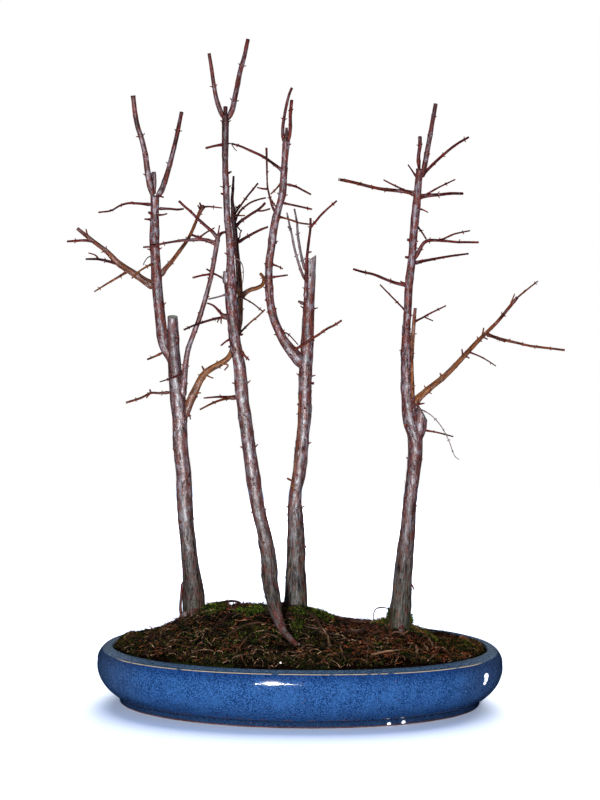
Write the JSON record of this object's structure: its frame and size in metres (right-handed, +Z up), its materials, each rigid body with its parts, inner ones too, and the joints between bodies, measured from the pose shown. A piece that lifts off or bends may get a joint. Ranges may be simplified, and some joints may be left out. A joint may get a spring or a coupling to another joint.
{
  "type": "dawn redwood bonsai forest",
  "caption": "Leafless dawn redwood bonsai forest with pruned tops, standing in a mossy root-covered mound of soil in a shallow oval blue glazed pot.",
  "frame": {"origin": "under the middle of the whole plant's box, at the level of the surface that the pot's foot stands on", "axes": "+Z up along the trunks, +Y from the front towards the back, +X to the right as seen from the front, along the pot's long side"},
  "size_m": [0.395, 0.2366, 0.5217],
  "materials": {
    "glaze": "gloss",
    "soil": "matte",
    "bark": "matte",
    "moss": "matte",
    "screen_plastic": "matte"
  },
  "bodies": {
    "root": {"pot": "glaze", "drain_screen_left": "screen_plastic", "drain_screen_right": "screen_plastic", "soil_and_root_mat": "soil", "dawn_redwood_far_left": "bark", "dawn_redwood_leaning": "bark", "dawn_redwood_cut_top": "bark", "dawn_redwood_right": "bark", "moss_cushion_1": "moss", "moss_cushion_2": "moss", "moss_cushion_3": "moss", "moss_cushion_4": "moss", "moss_cushion_5": "moss", "moss_cushion_6": "moss", "moss_cushion_7": "moss"}
  },
  "joints": []
}
